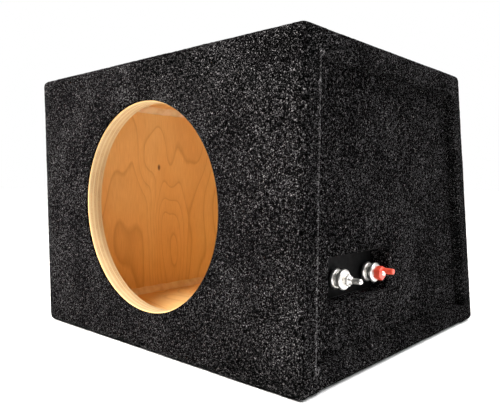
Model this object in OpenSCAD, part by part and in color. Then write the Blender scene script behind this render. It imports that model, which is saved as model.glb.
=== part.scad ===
// Carpeted wedge enclosure for one round woofer: six wood panels, glued and screwed,
// with recessed ends and two binding posts on a board behind a slot in the right end.
// +X is to the right seen from the front, +Y to the rear, +Z up.
// The origin is under the middle of the enclosure, at the height of the base.

/* [Enclosure] */
// Width over the carpet
box_w = 443; // [380:1:560]
// Height over the carpet
box_h = 330; // [300:1:420]
// Depth at the base
base_depth = 412; // [370:1:520]
// Depth at the top, less than at the base so that the rear leans forward
top_depth = 330; // [300:1:400]
// Thickness of the wood panels
panel_t = 19; // [15:0.5:24]
// How far the face of each end lies behind the edge of the enclosure
end_inset = 13; // [6:0.5:20]

/* [Carpet] */
// Thickness of the carpet
carpet_t = 3.5; // [2:0.1:5]
// Radius of the carpet over the long edges
edge_r = 8; // [5:0.5:12]

/* [Driver cutout] */
// Diameter of the hole for the driver
cutout_d = 235; // [180:1:250]
// How far the carpet is trimmed back from the cutout
carpet_trim = 1; // [0:0.5:4]

/* [Terminal slot] */
// Length of the slot, front to rear
slot_w = 120; // [100:1:150]
// Height of the slot
slot_h = 48; // [36:1:60]
// Distance from the front of the enclosure to the slot
slot_from_front = 61; // [50:1:90]
// Height of the lower edge of the slot
slot_from_base = 75; // [50:1:120]
// Corner radius of the slot
slot_r = 3; // [1:0.5:8]

/* [Terminal board] */
// How far the board laps the panel round the slot
board_lap = 17; // [15:0.5:22]
// Thickness of the board
board_t = 4; // [3:0.5:6]
// Thickness of the gasket under the board
gasket_t = 1.5; // [1:0.1:3]
// Shank diameter of the board screws
board_screw_d = 3.5; // [3:0.1:4]
// Length of the board screws under the head
board_screw_len = 16; // [12:1:20]

/* [Panel screws] */
// Shank diameter
screw_d = 4.2; // [3.5:0.1:5]
// Head diameter
screw_head_d = 8.2; // [7:0.1:9]
// Overall length
screw_len = 40; // [34:1:45]
// Screws along each joint
screws_per_joint = 3; // [2:1:4]

/* [Sealant] */
// Leg of the bead along each inside joint
bead = 9; // [5:0.5:10]

/* [Binding posts] */
// Distance between the two posts
post_spacing = 63; // [50:1:70]
// Distance from the slot's front end to the first post
post_from_slot = 41; // [30:1:45]
// Height of the posts above the lower edge of the slot
post_rise = 20.5; // [16:0.5:26]
// Thread diameter of the stud
stud_d = 6; // [5:0.5:7]
// Diameter of both discs
disc_d = 22; // [18:0.5:24]
// Thickness of the base disc
base_disc_t = 5; // [4:0.5:6]
// Thickness of the clamp disc
clamp_disc_t = 4.6; // [3.5:0.1:6]
// Diameter of the raised ring on the facing side of each disc
ring_d = 17; // [14:0.5:18]
// Height of that ring
ring_t = 1.4; // [1:0.1:2]
// Open gap between the two rings
wire_gap = 1.4; // [1:0.1:3]
// Thickness of the bushing's flange
bushing_t = 3; // [2:0.5:5]
// Length from the clamp disc to the tip of the post
nut_len = 19.5; // [16:0.5:20]
// Length of the stud inside the thumb nut
nut_grip = 4.2; // [3.5:0.1:6]
// Length of the hexagon at the foot of the plain nut
nut_hex_len = 5; // [4:0.5:7]
// Width of both nuts, across the flats or the diameter of the capped one
nut_w = 11; // [10:0.5:12]
// Diameter of the rod of the plain nut
rod_d = 6; // [5:0.5:7]
// Thickness of the red cap over the end of its nut
cap_end_t = 1; // [0.8:0.1:2]
// Width across the flats of the red cap
cap_af = 14; // [13:0.5:16]
// Diameter of the red cap's stem
stem_d = 6.6; // [5:0.1:7]
// How far the stem is off the axis of the post
stem_offset = 2.6; // [1:0.1:3]

/* [Hidden] */

$fn = 96;
cutout_sides = 180;   // sides of the driver cutout
over = 1;             // how far a cutter runs past the face that it cuts
turning_clear = 0.08; // radial gap of the turning pieces on the stud
face_clear = 0.1;     // gap between the clamp disc and the nut that turns on it

// The outline of the enclosure in the Y-Z plane, moved inwards by inset.
lean = (base_depth - top_depth) / box_h;
lean_angle = atan(lean);
edge_shortening = edge_r * (lean + 1 / cos(lean_angle) - 1); // what the round edge takes off the depth
front_y = -(base_depth - edge_shortening) / 2;
function rear_y(z, inset) = front_y + base_depth - lean * z - inset / cos(lean_angle);
function outline(inset) = [
    [front_y + inset, inset],
    [rear_y(inset, inset), inset],
    [rear_y(box_h - inset, inset), box_h - inset],
    [front_y + inset, box_h - inset]
];

// Layers, as insets from the outside of the carpet.
wood_outer = carpet_t;
wood_inner = carpet_t + panel_t;
recess_wall = wood_inner + carpet_t;

// Planes along X, on the right. The left mirrors them.
side_x = box_w / 2;
wood_end_x = side_x - carpet_t;
end_skin_x = side_x - end_inset;
end_outer_x = end_skin_x - carpet_t;
end_inner_x = end_outer_x - panel_t;
end_mid_x = (end_outer_x + end_inner_x) / 2;
board_face_x = end_inner_x - gasket_t;
board_back_x = board_face_x - board_t;

// The terminal slot and the two posts.
slot_y = front_y + slot_from_front + slot_w / 2;
slot_z = slot_from_base + slot_h / 2;
board_w = slot_w + 2 * board_lap;
board_h = slot_h + 2 * board_lap;
board_head_d = 2 * board_screw_d;
negative_y = front_y + slot_from_front + post_from_slot;
positive_y = negative_y + post_spacing;
post_z = slot_from_base + post_rise;

// The pieces on each post, from the board outwards.
base_disc_x = board_face_x + bushing_t;
ring_x = base_disc_x + base_disc_t;
clamp_x = ring_x + ring_t + wire_gap;
nut_x = clamp_x + ring_t + clamp_disc_t + face_clear;
stud_tip_x = nut_x + nut_grip;
bore_spare = 0.4; // left at the end of the bore when the post is closed
nut_bore_len = nut_grip + wire_gap + bore_spare;
nut_end_t = 1;    // wall between the bore and the dome
core_len = nut_bore_len + nut_end_t;
cap_len = core_len + cap_end_t;

// And from the board inwards.
insulator_t = 2;
tab_t = 0.8;
lock_washer_t = 1.6;
lock_nut_t = 5;
stud_spare = 3;      // thread left past the lock nut
bushing_wall = 1.5;  // wall of the bushing round the stud
flange_back = 2.5;   // how far the bushing's flange lies inside the rim of the disc
insulator_back = 3.5;
washer_rim = 2.5;    // how far the lock washer and the tab's ring reach past the stud
lock_nut_wall = 2;   // wall of the lock nut at its flats
tab_len = 22;
tab_w = 6.3;
tab_hole_d = 2.1;
tab_x = board_back_x - insulator_t;
lock_washer_x = tab_x - tab_t;
lock_nut_x = lock_washer_x - lock_washer_t;
stud_back_x = lock_nut_x - lock_nut_t - stud_spare;
bushing_d = stud_d + 2 * bushing_wall;
bushing_flange_d = disc_d - 2 * flange_back;
insulator_d = disc_d - 2 * insulator_back;
washer_d = stud_d + 2 * washer_rim;
lock_nut_af = stud_d + 2 * lock_nut_wall;

// Solid between two X planes with the given outline in Y and Z.
module slab(points, x0, x1) {
    translate([x0, 0, 0]) rotate([90, 0, 90]) linear_extrude(x1 - x0) polygon(points);
}

// Shape that starts at x and runs along +X about a post's axis.
module on_post(y, x) {
    translate([x, y, post_z]) rotate([0, 90, 0]) children();
}

// The outer shape of the carpet: the outline with round corners.
module rounded_outline() {
    p = outline(edge_r);
    polygon(p);
    for (i = [0:3]) {
        a = p[i];
        b = p[(i + 1) % 4];
        n = [b[1] - a[1], a[0] - b[0]] / norm(b - a) * edge_r;
        polygon([a, a + n, b + n, b]);
        translate(a) circle(edge_r);
    }
}

module rounded_body() {
    translate([-side_x, 0, 0]) rotate([90, 0, 90]) linear_extrude(box_w) rounded_outline();
}

// A shape in the slot's own plane, from x0 to x1, grown by margin all round.
module slot_shape(x0, x1, margin) {
    w = slot_w + 2 * margin - 2 * slot_r;
    h = slot_h + 2 * margin - 2 * slot_r;
    translate([x0, slot_y, slot_z]) rotate([90, 0, 90]) linear_extrude(x1 - x0) {
        square([w + 2 * slot_r, h], center = true);
        square([w, h + 2 * slot_r], center = true);
        for (u = [-1, 1], v = [-1, 1]) translate([u * w / 2, v * h / 2]) circle(slot_r);
    }
}

// ---- Screws. Each points along +Z from the middle of its head. ----

module wood_screw(d, head_d, len) {
    cone = (head_d - d) / 2;
    rotate_extrude()
        polygon([[0, 0], [head_d / 2, 0], [d / 2, cone], [d / 2, len - d], [0, len]]);
}

module panel_screw() {
    wood_screw(screw_d, screw_head_d, screw_len);
}

// Even places along a joint from a to b, half a pitch in from each end.
function along(a, b) = [for (i = [0:screws_per_joint - 1]) a + (b - a) * (i + 0.5) / screws_per_joint];

// A rear screw slopes down as it goes in, so it starts above the middle of the panel that it enters,
// by as much as leaves its head this margin inside the edge.
head_margin = 0.9;
rear_screw_lift = (panel_t - screw_head_d) / 2 - head_margin;
inner = outline(wood_inner);
joint_xs = along(-end_inner_x, end_inner_x);
low_mid = wood_outer + panel_t / 2;
high_mid = box_h - low_mid;

module front_screw_set() {
    for (x = [-end_mid_x, end_mid_x], z = along(wood_inner, box_h - wood_inner))
        translate([x, front_y + wood_outer, z]) rotate([-90, 0, 0]) panel_screw();
    for (x = joint_xs, z = [low_mid, high_mid])
        translate([x, front_y + wood_outer, z]) rotate([-90, 0, 0]) panel_screw();
}

module rear_screw_at(x, z) {
    head_z = z + rear_screw_lift;
    translate([x, rear_y(head_z, wood_outer), head_z]) rotate([90 + lean_angle, 0, 0]) panel_screw();
}

module rear_screw_set() {
    for (x = [-end_mid_x, end_mid_x], z = along(wood_inner, box_h - wood_inner)) rear_screw_at(x, z);
    for (x = joint_xs, z = [low_mid, high_mid]) rear_screw_at(x, z);
}

module top_screw_set() {
    for (x = [-end_mid_x, end_mid_x], y = along(inner[3][0], inner[2][0]))
        translate([x, y, box_h - wood_outer]) rotate([180, 0, 0]) panel_screw();
}

module base_screw_set() {
    for (x = [-end_mid_x, end_mid_x], y = along(inner[0][0], inner[1][0]))
        translate([x, y, wood_outer]) panel_screw();
}

module board_screw_set() {
    u = board_w / 2 - board_lap / 2;
    v = board_h / 2 - board_lap / 2;
    for (y = [-u, 0, u], z = [-v, v])
        translate([board_back_x, slot_y + y, slot_z + z]) rotate([0, 90, 0])
            wood_screw(board_screw_d, board_head_d, board_screw_len);
}

// ---- Wood ----

module front_baffle() {
    color("burlywood") difference() {
        slab([
            [front_y + wood_outer, wood_outer], [front_y + wood_inner, wood_outer],
            [front_y + wood_inner, box_h - wood_outer], [front_y + wood_outer, box_h - wood_outer]
        ], -wood_end_x, wood_end_x);
        translate([0, front_y - over, box_h / 2]) rotate([-90, 0, 0])
            cylinder(d = cutout_d, h = wood_inner + 2 * over, $fn = cutout_sides);
        front_screw_set();
    }
}

module rear_panel() {
    color("burlywood") difference() {
        slab([
            [rear_y(wood_outer, wood_inner), wood_outer], [rear_y(wood_outer, wood_outer), wood_outer],
            [rear_y(box_h - wood_outer, wood_outer), box_h - wood_outer],
            [rear_y(box_h - wood_outer, wood_inner), box_h - wood_outer]
        ], -wood_end_x, wood_end_x);
        rear_screw_set();
    }
}

// The top and bottom panels lie between the baffle and the rear panel.
module level_panel(z0, z1) {
    slab([
        [front_y + wood_inner, z0], [rear_y(z0, wood_inner), z0],
        [rear_y(z1, wood_inner), z1], [front_y + wood_inner, z1]
    ], -wood_end_x, wood_end_x);
}

module top_panel() {
    color("burlywood") difference() {
        level_panel(box_h - wood_inner, box_h - wood_outer);
        front_screw_set();
        rear_screw_set();
        top_screw_set();
    }
}

module bottom_panel() {
    color("burlywood") difference() {
        level_panel(wood_outer, wood_inner);
        front_screw_set();
        rear_screw_set();
        base_screw_set();
    }
}

module left_end_panel() {
    color("tan") difference() {
        slab(inner, -end_outer_x, -end_inner_x);
        front_screw_set();
        rear_screw_set();
        top_screw_set();
        base_screw_set();
    }
}

module right_end_panel() {
    color("tan") difference() {
        slab(inner, end_inner_x, end_outer_x);
        slot_shape(end_inner_x - over, end_outer_x + over, carpet_t);
        front_screw_set();
        rear_screw_set();
        top_screw_set();
        base_screw_set();
        board_screw_set();
    }
}

// ---- Carpet ----

// Turn-in of the wrap, down the wall of one end recess as far as the end carpet.
module turn_in(side) {
    x0 = side < 0 ? -wood_end_x : end_skin_x;
    difference() {
        slab(outline(wood_inner), x0, x0 + wood_end_x - end_skin_x);
        slab(outline(recess_wall), x0 - over, x0 + wood_end_x);
    }
}

module wrap_carpet() {
    color("dimgray") {
        difference() {
            rounded_body();
            slab(outline(wood_outer), -wood_end_x, wood_end_x);
            slab(outline(recess_wall), -side_x - over, side_x + over);
            translate([-box_w, -base_depth, -over]) cube([2 * box_w, 2 * base_depth, over + carpet_t]);
            translate([0, front_y - over, box_h / 2]) rotate([-90, 0, 0])
                cylinder(d = cutout_d + 2 * carpet_trim, h = carpet_t + 2 * over, $fn = cutout_sides);
        }
        turn_in(-1);
        turn_in(1);
    }
}

module base_carpet() {
    color("dimgray") intersection() {
        rounded_body();
        translate([-box_w, -base_depth, 0]) cube([2 * box_w, 2 * base_depth, carpet_t]);
    }
}

module left_end_carpet() {
    color("dimgray") slab(inner, -end_skin_x, -end_outer_x);
}

// Turned in over the walls of the slot as far as the gasket.
module right_end_carpet() {
    color("dimgray") difference() {
        union() {
            slab(inner, end_outer_x, end_skin_x);
            slot_shape(end_inner_x, end_skin_x, carpet_t);
        }
        slot_shape(end_inner_x - over, end_skin_x + over, 0);
    }
}

// ---- Sealant ----

// Beads along the four long corners, from one end panel to the other.
module long_joint_sealant() {
    color("wheat") for (i = [0:3]) {
        a = inner[i];
        slab([a, a + bead * towards(i, i + 1), a + bead * towards(i, i + 3)], -end_inner_x, end_inner_x);
    }
}

// Unit vector from one corner of the inside to another.
function towards(i, j) = (inner[j % 4] - inner[i % 4]) / norm(inner[j % 4] - inner[i % 4]);

// Beads along the joints of one end panel, between the long beads.
module end_beads(side) {
    for (i = [0:3]) {
        a = inner[i] + bead * towards(i, i + 1);
        run = norm(inner[(i + 1) % 4] - inner[i]) - 2 * bead;
        angle = atan2(towards(i, i + 1)[1], towards(i, i + 1)[0]);
        translate([side * end_inner_x, a[0], a[1]]) rotate([angle, 0, 0])
            translate([0, run, 0]) rotate([90, 0, 0]) linear_extrude(run)
                polygon([[0, 0], [-side * bead, 0], [0, bead]]);
    }
}

module left_end_sealant() {
    color("wheat") end_beads(-1);
}

module right_end_sealant() {
    color("wheat") end_beads(1);
}

// ---- Screws as nodes ----

module front_screws() {
    color("goldenrod") front_screw_set();
}

module rear_screws() {
    color("goldenrod") rear_screw_set();
}

module top_screws() {
    color("goldenrod") top_screw_set();
}

module base_screws() {
    color("goldenrod") base_screw_set();
}

module board_screws() {
    color("black") board_screw_set();
}

// ---- Terminal board ----

module terminal_board() {
    color("black") difference() {
        slot_shape(board_back_x, board_face_x, board_lap);
        for (y = [negative_y, positive_y])
            on_post(y, board_back_x - over) cylinder(d = bushing_d, h = board_t + 2 * over);
        board_screw_set();
    }
}

module board_gasket() {
    color("darkslategray") difference() {
        slot_shape(board_face_x, end_inner_x, board_lap);
        slot_shape(board_face_x - over, end_inner_x + over, 0);
        board_screw_set();
    }
}

// ---- Binding posts ----

// A disc with a full round rim, with a raised ring on one face.
module rimmed_disc(t, bore, ring_at) {
    difference() {
        union() {
            rotate_extrude() {
                square([disc_d / 2 - t / 2, t]);
                translate([disc_d / 2 - t / 2, t / 2]) intersection() {
                    circle(t / 2);
                    translate([0, -t]) square([t, 2 * t]);
                }
            }
            translate([0, 0, ring_at]) cylinder(d = ring_d, h = ring_t);
        }
        translate([0, 0, -ring_t - over]) cylinder(d = bore, h = t + 2 * ring_t + 2 * over);
    }
}

module stud(y) {
    color("lightgray") on_post(y, stud_back_x) cylinder(d = stud_d, h = stud_tip_x - stud_back_x);
}

module bushing(y) {
    color("black") difference() {
        union() {
            on_post(y, board_face_x) cylinder(d = bushing_flange_d, h = bushing_t);
            on_post(y, board_back_x) cylinder(d = bushing_d, h = board_t);
        }
        on_post(y, board_back_x - over) cylinder(d = stud_d, h = board_t + bushing_t + 2 * over);
    }
}

module base_disc(y) {
    color("silver") on_post(y, base_disc_x) rimmed_disc(base_disc_t, stud_d, base_disc_t);
}

module clamp_disc(y) {
    color("silver") on_post(y, clamp_x + ring_t)
        rimmed_disc(clamp_disc_t, stud_d + 2 * turning_clear, -ring_t);
}

module insulator(y) {
    color("black") on_post(y, tab_x) difference() {
        cylinder(d = insulator_d, h = insulator_t);
        translate([0, 0, -over]) cylinder(d = stud_d, h = insulator_t + 2 * over);
    }
}

module solder_tab(y) {
    color("gold") on_post(y, lock_washer_x) difference() {
        union() {
            cylinder(d = washer_d, h = tab_t);
            translate([0, -tab_w / 2, 0]) cube([tab_len, tab_w, tab_t]);
        }
        translate([0, 0, -over]) cylinder(d = stud_d, h = tab_t + 2 * over);
        translate([tab_len - tab_w / 2, 0, -over]) cylinder(d = tab_hole_d, h = tab_t + 2 * over);
    }
}

module lock_washer(y) {
    color("silver") on_post(y, lock_nut_x) difference() {
        cylinder(d = washer_d, h = lock_washer_t);
        translate([0, 0, -over]) cylinder(d = stud_d, h = lock_washer_t + 2 * over);
    }
}

module lock_nut(y) {
    color("silver") on_post(y, lock_nut_x - lock_nut_t) difference() {
        cylinder(d = hex_d(lock_nut_af), h = lock_nut_t, $fn = 6);
        translate([0, 0, -over]) cylinder(d = stud_d, h = lock_nut_t + 2 * over);
    }
}

// Diameter over the corners of a hexagon with the given width across its flats.
function hex_d(across_flats) = across_flats / cos(30);

module nut_bore() {
    translate([0, 0, -over]) cylinder(d = stud_d + 2 * turning_clear, h = nut_bore_len + over);
}

// Hexagon, shoulder and a rod with a domed tip.
module negative_thumb_nut() {
    rod_r = rod_d / 2;
    shoulder_extra = 1; // how much longer the shoulder is than its step
    shoulder = (nut_w - rod_d) / 2 + shoulder_extra;
    color("silver") on_post(negative_y, nut_x) difference() {
        union() {
            cylinder(d = hex_d(nut_w), h = nut_hex_len, $fn = 6);
            translate([0, 0, nut_hex_len]) cylinder(d1 = nut_w, d2 = rod_d, h = shoulder);
            cylinder(d = rod_d, h = nut_len - rod_r);
            translate([0, 0, nut_len - rod_r]) sphere(rod_r);
        }
        nut_bore();
    }
}

// Round nut with a domed end.
module capped_nut_shape() {
    cylinder(d = nut_w, h = core_len);
    cylinder(d = stud_d, h = cap_len);
    translate([0, 0, cap_len]) sphere(stud_d / 2);
}

module positive_thumb_nut() {
    color("silver") on_post(positive_y, nut_x) difference() {
        capped_nut_shape();
        nut_bore();
    }
}

// Red moulded cap over that nut. The dome shows through it, beside a stem.
module positive_cap() {
    stem_end = 1;
    stem_len = nut_len - stem_end;
    color("tomato") on_post(positive_y, nut_x) difference() {
        union() {
            cylinder(d = hex_d(cap_af), h = cap_len, $fn = 6);
            translate([-stem_offset, stem_offset, 0]) {
                cylinder(d = stem_d, h = stem_len);
                translate([0, 0, stem_len]) cylinder(d1 = stem_d, d2 = stem_d - 2 * stem_end, h = stem_end);
            }
        }
        translate([0, 0, -over]) cylinder(d = nut_w, h = core_len + over);
        capped_nut_shape();
    }
}

front_baffle();
rear_panel();
top_panel();
bottom_panel();
left_end_panel();
right_end_panel();
wrap_carpet();
base_carpet();
left_end_carpet();
right_end_carpet();
left_end_sealant();
right_end_sealant();
long_joint_sealant();
front_screws();
rear_screws();
top_screws();
base_screws();
terminal_board();
board_gasket();
board_screws();
stud(negative_y);  // negative_stud
bushing(negative_y);  // negative_bushing
base_disc(negative_y);  // negative_base_disc
clamp_disc(negative_y);  // negative_clamp_disc
negative_thumb_nut();
insulator(negative_y);  // negative_insulator
solder_tab(negative_y);  // negative_solder_tab
lock_washer(negative_y);  // negative_lock_washer
lock_nut(negative_y);  // negative_lock_nut
stud(positive_y);  // positive_stud
bushing(positive_y);  // positive_bushing
base_disc(positive_y);  // positive_base_disc
clamp_disc(positive_y);  // positive_clamp_disc
positive_thumb_nut();
positive_cap();
insulator(positive_y);  // positive_insulator
solder_tab(positive_y);  // positive_solder_tab
lock_washer(positive_y);  // positive_lock_washer
lock_nut(positive_y);  // positive_lock_nut
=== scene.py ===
"""Carpeted plywood enclosure for one round woofer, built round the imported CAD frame.

The carpet, the baffle, the sealant and the binding posts' metal and cap are modelled here. The other CAD
nodes keep their shape and get a finish. Everything is in metres, in the CAD frame: +X to the right, +Y to
the rear, +Z up.
"""

import logging
import math
from dataclasses import dataclass, field
from enum import Enum
from typing import Callable

import bmesh
import bpy
from bmesh.types import BMEdge, BMesh, BMVert
from bpy.types import Material, Node, NodeSocket, NodeTree
from mathutils import Matrix, Vector, noise


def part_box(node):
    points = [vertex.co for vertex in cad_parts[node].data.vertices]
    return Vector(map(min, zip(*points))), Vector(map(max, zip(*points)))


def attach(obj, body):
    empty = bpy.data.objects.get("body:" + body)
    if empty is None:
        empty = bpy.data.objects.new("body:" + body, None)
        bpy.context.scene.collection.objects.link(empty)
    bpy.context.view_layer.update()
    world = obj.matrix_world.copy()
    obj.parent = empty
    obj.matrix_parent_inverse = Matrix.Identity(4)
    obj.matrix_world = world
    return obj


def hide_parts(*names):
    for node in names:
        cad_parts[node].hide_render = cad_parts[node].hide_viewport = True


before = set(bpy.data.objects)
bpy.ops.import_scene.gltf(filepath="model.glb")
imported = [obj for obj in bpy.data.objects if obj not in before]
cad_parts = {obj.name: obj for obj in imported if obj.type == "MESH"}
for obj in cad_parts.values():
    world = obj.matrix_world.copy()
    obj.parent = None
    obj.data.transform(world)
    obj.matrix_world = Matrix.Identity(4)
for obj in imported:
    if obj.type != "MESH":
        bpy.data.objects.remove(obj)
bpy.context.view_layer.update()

log = logging.getLogger("enclosure")

MM = 0.001
CASE = "case"
# Distance under which two points are one.
TINY = 0.001 * MM
# Sizes that the boxes of the CAD nodes don't show.
CUTOUT_R = 117.5 * MM
CARPET_TRIM = 1.0 * MM
BOARD_LAP = 17 * MM
SLOT_R = 3 * MM

# A section: pairs of distance along X and radius, or of X and depth below the outer face.
Section = list[tuple[float, float]]


# ---- Small helpers ----


def linear(code: str) -> tuple[float, float, float, float]:
    """Turn an sRGB hex colour into linear RGBA.

    Args:
        code: Colour such as "#c8a070".

    Returns:
        Red, green, blue and an alpha of 1.
    """
    parts = [int(code[i : i + 2], 16) / 255 for i in (1, 3, 5)]
    return (*[p / 12.92 if p <= 0.04045 else ((p + 0.055) / 1.055) ** 2.4 for p in parts], 1.0)


def set_inputs(node: Node, inputs: dict) -> None:
    """Give a node's inputs their values, or link them to the outputs of other nodes.

    Args:
        node: The node.
        inputs: Socket name or number to a value or to another node's output.
    """
    for key, value in inputs.items():
        if isinstance(value, NodeSocket):
            node.id_data.links.new(value, node.inputs[key])
        else:
            node.inputs[key].default_value = value


def add(
    tree: NodeTree, kind: str, inputs: dict | None = None, stops: tuple = (), out: int | str = 0, **settings
) -> NodeSocket:
    """Add one shader node, with its settings, its values and its links.

    Where names repeat, sockets go by number. A map range takes its value, the range that it reads and the
    range that it gives as 0 to 4. A mix of colours takes its share as 0 and the colours as 6 and 7.

    Args:
        tree: Node tree to add to.
        kind: Node type without its ShaderNode prefix.
        inputs: Socket name or number to a value or to another node's output.
        stops: Places and hex colours of a colour ramp.
        out: Name or number of the output to give back.
        **settings: Properties of the node itself.

    Returns:
        That output.
    """
    node = tree.nodes.new("ShaderNode" + kind)
    for name, value in settings.items():
        setattr(node, name, value)
    set_inputs(node, inputs or {})
    for i, (place, code) in enumerate(stops):
        element = node.color_ramp.elements[i] if i < 2 else node.color_ramp.elements.new(place)
        element.position, element.color = place, linear(code)
    return node.outputs[out]


def tinted(tree: NodeTree, colour: NodeSocket | tuple, layers: tuple) -> NodeSocket:
    """Lay colours over one another.

    Args:
        tree: Node tree.
        colour: The lowest colour.
        layers: Pairs of an output that says how much of the layer shows, and its hex colour.

    Returns:
        The colour that is seen.
    """
    for share, code in layers:
        colour = add(tree, "Mix", {0: share, 6: colour, 7: linear(code)}, out=2, data_type="RGBA")
    return colour


def distance(tree: NodeTree, place: NodeSocket, centre: tuple, flatten: float) -> NodeSocket:
    """Measure how far a place is from a centre.

    Args:
        tree: Node tree.
        place: The place.
        centre: The centre.
        flatten: Factor on heights, below 1 for an upright oval.

    Returns:
        The distance.
    """
    apart = add(tree, "VectorMath", {0: place, 1: centre}, operation="SUBTRACT")
    oval = add(tree, "VectorMath", {0: apart, 1: (1.0, 1.0, flatten)}, operation="MULTIPLY")
    return add(tree, "VectorMath", {0: oval}, out="Value", operation="LENGTH")


def scale_of(size_mm: float) -> float:
    """Return the scale of a texture whose features have that size in millimetres."""
    return 1 / (size_mm * MM)


def new_material(name: str) -> tuple[Material, NodeTree, Node]:
    """Make a material with a Principled shader.

    Args:
        name: What the real material is called.

    Returns:
        The material, its tree and the shader node.
    """
    material = bpy.data.materials.new(name)
    material.use_nodes = True
    tree = material.node_tree
    return material, tree, tree.nodes["Principled BSDF"]


def arc(centre: tuple[float, float], radius: float, start: float, stop: float, parts: int) -> Section:
    """List points on an arc.

    Args:
        centre: Its centre.
        radius: Its radius.
        start: Where it starts, in degrees from the first axis towards the second.
        stop: Where it stops.
        parts: Number of its parts.

    Returns:
        The points, one more than the parts.
    """
    angles = [math.radians(start + (stop - start) * k / parts) for k in range(parts + 1)]
    return [(centre[0] + radius * math.cos(a), centre[1] + radius * math.sin(a)) for a in angles]


def join_into(bm: BMesh, other: BMesh) -> None:
    """Add a shape to another, and free it.

    Args:
        bm: The shape that grows.
        other: The shape that is added.
    """
    mesh = bpy.data.meshes.new("part")
    other.to_mesh(mesh)
    other.free()
    bm.from_mesh(mesh)
    bpy.data.meshes.remove(mesh)


def ease_edges(bm: BMesh, edges: list[BMEdge], size: float, segments: int) -> None:
    """Round edges of a shape.

    Args:
        bm: The shape.
        edges: The edges.
        size: How far the rounding reaches from each edge.
        segments: Parts of the rounding.
    """
    bmesh.ops.bevel(
        bm,
        geom=edges,
        offset=size,
        offset_type="OFFSET",
        segments=segments,
        profile=0.5,
        affect="EDGES",
        material=-1,
    )


def finish_piece(
    bm: BMesh,
    name: str,
    material: Material,
    replaced: str,
    body: str = CASE,
    sharp: float | None = 35.0,
) -> bpy.types.Object:
    """Turn a bmesh into a piece that rides on a body.

    Args:
        bm: The finished shape, which is freed.
        name: Name of the piece.
        material: Its finish.
        replaced: CAD node that it stands for.
        body: Body that it moves with.
        sharp: Edges over this angle in degrees stay sharp, or None for a smooth piece.

    Returns:
        The piece.
    """
    bm.normal_update()
    mesh = bpy.data.meshes.new(name)
    bm.to_mesh(mesh)
    bm.free()
    for polygon in mesh.polygons:
        polygon.use_smooth = True
    if sharp is not None:
        mesh.set_sharp_from_angle(angle=math.radians(sharp))
    mesh.materials.append(material)
    piece = bpy.data.objects.new(name, mesh)
    bpy.context.scene.collection.objects.link(piece)
    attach(piece, body)
    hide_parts(replaced)
    log.info("%s: %d faces on %s", name, len(mesh.polygons), body)
    return piece


def dress(material: Material, *nodes: str) -> None:
    """Give CAD nodes a finish.

    Args:
        material: The finish.
        *nodes: Names of the nodes.
    """
    for name in nodes:
        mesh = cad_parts[name].data
        mesh.materials.clear()
        mesh.materials.append(material)
        log.info("%s: %s", name, material.name)


# ---- Finishes ----


@dataclass(frozen=True)
class NeedlePunchedCarpet:
    """Needle-punched polyester carpet, charcoal with pale flecks.

    Matted fibres of a few greys give a salt-and-pepper speckle and no gloss. The black gap and near-black
    shadow tones are painted shade in the pile between the fibres; the other tones are the fibres' own greys.
    """

    # gap and shadow: painted shade between the fibres, not fibre colours.
    gap: str = "#000000"
    shadow: str = "#010101"
    ground: str = "#070707"
    mid: str = "#1f1e1f"
    fleck: str = "#848182"
    # The real fibres are finer than this, but would not show.
    fibre_mm: float = 1.05
    tuft_mm: float = 3.2
    cloud_mm: float = 45.0
    tuft_part: float = 0.22
    cloud_part: float = 0.09
    # How much the painted edge highlight lightens the carpet.
    painted_edge_highlight_part: float = 0.085
    dark_level: float = 0.491
    pale_level: float = 0.875

    def build(self) -> Material:
        """Make the material.

        Returns:
            The material.
        """
        material, tree, shader = new_material("needle_punched_carpet")
        place = add(tree, "TexCoord", out="Object")
        matted = {"Vector": place, "Scale": scale_of(self.fibre_mm), "Roughness": 0.6, "Distortion": 0.9}
        fibres = add(tree, "TexNoise", matted)
        bunched = {"Vector": place, "Scale": scale_of(self.tuft_mm), "Detail": 1.0, "Distortion": 0.6}
        tufts = add(tree, "TexNoise", bunched)
        clouds = add(tree, "TexNoise", {"Vector": place, "Scale": scale_of(self.cloud_mm)})
        height = add(tree, "Math", {0: tufts, 1: self.tuft_part, 2: fibres}, operation="MULTIPLY_ADD")
        # Painted highlight: the carpet is drawn lighter on the round at the mouth of each end recess along
        # the front, where that edge catches the light.
        painted_edge_highlight = add(tree, "Attribute", out="Fac", attribute_name="painted_edge_highlight")
        level = height
        for part, share in ((clouds, self.cloud_part), (painted_edge_highlight, self.painted_edge_highlight_part)):
            level = add(tree, "Math", {0: part, 1: share, 2: level}, operation="MULTIPLY_ADD")
        shade = add(tree, "MapRange", {0: level, 1: self.dark_level, 2: self.pale_level})
        # The two darkest stops, gap and shadow, paint the shade between the fibres.
        ends = ((0.0, self.gap), (1.0, self.fleck))
        tones = ends + ((0.32, self.shadow), (0.5, self.ground), (0.72, self.mid))
        colour = add(tree, "ValToRGB", {"Fac": shade}, tones)
        bump = add(tree, "Bump", {"Height": height, "Strength": 0.9, "Distance": 0.9 * MM})
        set_inputs(shader, {"Base Color": colour, "Normal": bump})
        set_inputs(shader, {"Roughness": 1.0, "Specular IOR Level": 0.0})
        return material


class Grain(Enum):
    """Which way the veneer's grain runs on a panel, and which way the panel faces."""

    END = "upright grain on a panel that faces along X"
    LEVEL = "grain along X on a panel that faces along Z"
    FRONT = "grain along X on a panel that faces along Y"

    def squeeze(self, share: float) -> tuple[float, float, float]:
        """Return the scale that draws a pattern out along the grain, by squeezing that axis."""
        return (1.0, 1.0, share) if self is Grain.END else (share, 1.0, 1.0)


@dataclass(frozen=True)
class Swell:
    """A place where the rings of the figure close round a point.

    Attributes:
        centre: The point.
        flatten: Factor on heights, below 1 for an upright oval.
        reach: How far from the point it is felt.
        lift: How far it raises the figure at the point.
    """

    centre: tuple[float, float, float]
    flatten: float
    reach: float
    lift: float


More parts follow.
